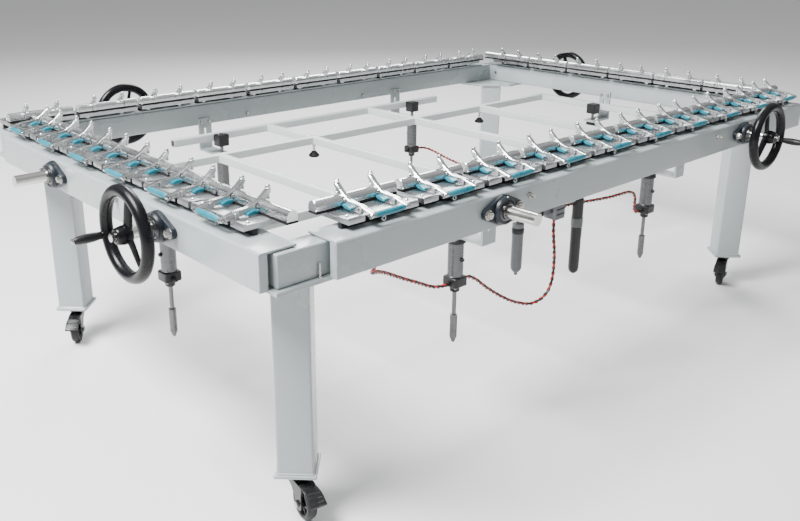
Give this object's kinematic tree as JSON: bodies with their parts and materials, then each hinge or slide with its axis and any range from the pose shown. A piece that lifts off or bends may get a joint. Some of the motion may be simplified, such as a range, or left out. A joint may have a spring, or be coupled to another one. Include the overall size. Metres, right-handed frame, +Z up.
{
  "type": "screen mesh stretching table",
  "caption": "Wheeled table for stretching screen printing mesh: four sliding clamp beams wound out by handwheels around a lifting support lattice.",
  "frame": {"origin": "on the floor, under the centre of the table's bounding box", "axes": "+X along the long sides, +Y from the front side with the air unit to the back side, +Z up"},
  "size_m": [3.222, 2.202, 0.9375],
  "materials": {
    "frame_paint": "satin, light grey with a cool cast",
    "lattice_paint": "satin, light grey",
    "bright_steel": "turned and brushed",
    "chrome": "hard chromed and ground",
    "bronze": "turned",
    "cylinder_alloy": "clear anodised, grey",
    "dark_fittings": "moulded",
    "clamp_alloy": "extruded, clear anodised",
    "lever_alloy": "extruded, with teal sleeves",
    "bearing_iron": "dark blue-grey paint over cast iron",
    "black_iron": "black enamel",
    "black_plastic": "matt",
    "rubber": "matt",
    "castor_black": "black, semi-gloss",
    "castor_tyre": "smooth tread",
    "hose": "twisted red and black polyurethane tube pair"
  },
  "bodies": {
    "frame": {"frame_rails_long": "frame_paint", "frame_rails_short": "frame_paint", "leg_front_left": "frame_paint", "leg_front_right": "frame_paint", "leg_back_right": "frame_paint", "leg_back_left": "frame_paint", "frame_bolts": "bright_steel", "guide_rods": "chrome", "screw_nuts": "bronze", "lift_brackets": "frame_paint", "lift_cylinders": "cylinder_alloy", "air_unit": "dark_fittings", "hose_left": "hose", "hose_front": "hose", "hose_right": "hose", "hose_back": "hose"},
    "lift": {"lift_lattice": "lattice_paint", "lift_rods": "chrome", "lift_blocks": "black_plastic", "lift_feet": "rubber"},
    "castor_swivel_front_left": {"castor_fork_front_left": "castor_black"},
    "castor_roll_front_left": {"castor_wheel_front_left": "castor_tyre"},
    "castor_swivel_front_right": {"castor_fork_front_right": "castor_black"},
    "castor_roll_front_right": {"castor_wheel_front_right": "castor_tyre"},
    "castor_swivel_back_right": {"castor_fork_back_right": "castor_black"},
    "castor_roll_back_right": {"castor_wheel_back_right": "castor_tyre"},
    "castor_swivel_back_left": {"castor_fork_back_left": "castor_black"},
    "castor_roll_back_left": {"castor_wheel_back_left": "castor_tyre"},
    "carriage_front": {"side_beam_front": "frame_paint", "clamp_bases_front": "clamp_alloy", "flange_bearings_front": "bearing_iron"},
    "clamp_gang_front": {"clamp_jaws_front": "clamp_alloy", "clamp_levers_front": "lever_alloy"},
    "screw_front": {"screw_shaft_front": "bright_steel", "handwheel_front": "black_iron"},
    "crank_front": {"crank_grip_front": "black_plastic"},
    "carriage_right": {"side_beam_right": "frame_paint", "clamp_bases_right": "clamp_alloy", "flange_bearings_right": "bearing_iron"},
    "clamp_gang_right": {"clamp_jaws_right": "clamp_alloy", "clamp_levers_right": "lever_alloy"},
    "screw_right": {"screw_shaft_right": "bright_steel", "handwheel_right": "black_iron"},
    "crank_right": {"crank_grip_right": "black_plastic"},
    "carriage_back": {"side_beam_back": "frame_paint", "clamp_bases_back": "clamp_alloy", "flange_bearings_back": "bearing_iron"},
    "clamp_gang_back": {"clamp_jaws_back": "clamp_alloy", "clamp_levers_back": "lever_alloy"},
    "screw_back": {"screw_shaft_back": "bright_steel", "handwheel_back": "black_iron"},
    "crank_back": {"crank_grip_back": "black_plastic"},
    "carriage_left": {"side_beam_left": "frame_paint", "clamp_bases_left": "clamp_alloy", "flange_bearings_left": "bearing_iron"},
    "clamp_gang_left": {"clamp_jaws_left": "clamp_alloy", "clamp_levers_left": "lever_alloy"},
    "screw_left": {"screw_shaft_left": "bright_steel", "handwheel_left": "black_iron"},
    "crank_left": {"crank_grip_left": "black_plastic"}
  },
  "joints": [
    {"name": "lift_slide", "type": "slide", "parent": "frame", "child": "lift", "axis": [0, 0, 1], "range_m": [0, 0.075]},
    {"name": "swivel_front_left", "type": "hinge", "parent": "frame", "child": "castor_swivel_front_left", "pos_m": [-1.225, -0.715, 0.13], "axis": [0, 0, 1], "continuous": true},
    {"name": "wheel_front_left", "type": "hinge", "parent": "castor_swivel_front_left", "child": "castor_roll_front_left", "pos_m": [-1.2316, -0.75242, 0.05], "axis": [0.9848, -0.1736, 0], "continuous": true},
    {"name": "swivel_front_right", "type": "hinge", "parent": "frame", "child": "castor_swivel_front_right", "pos_m": [1.225, -0.715, 0.13], "axis": [0, 0, 1], "continuous": true},
    {"name": "wheel_front_right", "type": "hinge", "parent": "castor_swivel_front_right", "child": "castor_roll_front_right", "pos_m": [1.18929, -0.728, 0.05], "axis": [0.342, -0.9397, 0], "continuous": true},
    {"name": "swivel_back_right", "type": "hinge", "parent": "frame", "child": "castor_swivel_back_right", "pos_m": [1.225, 0.715, 0.13], "axis": [0, 0, 1], "continuous": true},
    {"name": "wheel_back_right", "type": "hinge", "parent": "castor_swivel_back_right", "child": "castor_roll_back_right", "pos_m": [1.212, 0.75071, 0.05], "axis": [-0.9397, -0.342, 0], "continuous": true},
    {"name": "swivel_back_left", "type": "hinge", "parent": "frame", "child": "castor_swivel_back_left", "pos_m": [-1.225, 0.715, 0.13], "axis": [0, 0, 1], "continuous": true},
    {"name": "wheel_back_left", "type": "hinge", "parent": "castor_swivel_back_left", "child": "castor_roll_back_left", "pos_m": [-1.2468, 0.68387, 0.05], "axis": [0.8192, -0.5736, 0], "continuous": true},
    {"name": "carriage_slide_front", "type": "slide", "parent": "frame", "child": "carriage_front", "axis": [0, -1, 0], "range_m": [0, 0.06]},
    {"name": "clamp_hinge_front", "type": "hinge", "parent": "carriage_front", "child": "clamp_gang_front", "pos_m": [0, -0.853, 0.881], "axis": [1, 0, 0], "range_deg": [0, 22]},
    {"name": "handwheel_front", "type": "hinge", "parent": "carriage_front", "child": "screw_front", "pos_m": [0.814, -0.905, 0.795], "axis": [0, -1, 0], "range_deg": [0, 4320]},
    {"name": "crank_grip_front", "type": "hinge", "parent": "screw_front", "child": "crank_front", "pos_m": [0.92364, -1.055, 0.76766], "axis": [0, -1, 0], "continuous": true},
    {"name": "carriage_slide_right", "type": "slide", "parent": "frame", "child": "carriage_right", "axis": [1, 0, 0], "range_m": [0, 0.06]},
    {"name": "clamp_hinge_right", "type": "hinge", "parent": "carriage_right", "child": "clamp_gang_right", "pos_m": [1.363, 0, 0.881], "axis": [0, 1, 0], "range_deg": [0, 22]},
    {"name": "handwheel_right", "type": "hinge", "parent": "carriage_right", "child": "screw_right", "pos_m": [1.415, 0.411, 0.795], "axis": [1, 0, 0], "range_deg": [0, 4320]},
    {"name": "crank_grip_right", "type": "hinge", "parent": "screw_right", "child": "crank_right", "pos_m": [1.565, 0.30136, 0.76766], "axis": [1, 0, 0], "continuous": true},
    {"name": "carriage_slide_back", "type": "slide", "parent": "frame", "child": "carriage_back", "axis": [0, 1, 0], "range_m": [0, 0.06]},
    {"name": "clamp_hinge_back", "type": "hinge", "parent": "carriage_back", "child": "clamp_gang_back", "pos_m": [0, 0.853, 0.881], "axis": [-1, 0, 0], "range_deg": [0, 22]},
    {"name": "handwheel_back", "type": "hinge", "parent": "carriage_back", "child": "screw_back", "pos_m": [-0.814, 0.905, 0.795], "axis": [0, 1, 0], "range_deg": [0, 4320]},
    {"name": "crank_grip_back", "type": "hinge", "parent": "screw_back", "child": "crank_back", "pos_m": [-0.92364, 1.055, 0.76766], "axis": [0, 1, 0], "continuous": true},
    {"name": "carriage_slide_left", "type": "slide", "parent": "frame", "child": "carriage_left", "axis": [-1, 0, 0], "range_m": [0, 0.06]},
    {"name": "clamp_hinge_left", "type": "hinge", "parent": "carriage_left", "child": "clamp_gang_left", "pos_m": [-1.363, 0, 0.881], "axis": [0, -1, 0], "range_deg": [0, 22]},
    {"name": "handwheel_left", "type": "hinge", "parent": "carriage_left", "child": "screw_left", "pos_m": [-1.415, -0.411, 0.795], "axis": [-1, 0, 0], "range_deg": [0, 4320]},
    {"name": "crank_grip_left", "type": "hinge", "parent": "screw_left", "child": "crank_left", "pos_m": [-1.565, -0.30136, 0.76766], "axis": [-1, 0, 0], "continuous": true}
  ],
  "couplings": [
    {"joint": "carriage_slide_front", "follows": "handwheel_front", "m_per_rad": 0.00079577},
    {"joint": "carriage_slide_right", "follows": "handwheel_right", "m_per_rad": 0.00079577},
    {"joint": "carriage_slide_back", "follows": "handwheel_back", "m_per_rad": 0.00079577},
    {"joint": "carriage_slide_left", "follows": "handwheel_left", "m_per_rad": 0.00079577}
  ]
}
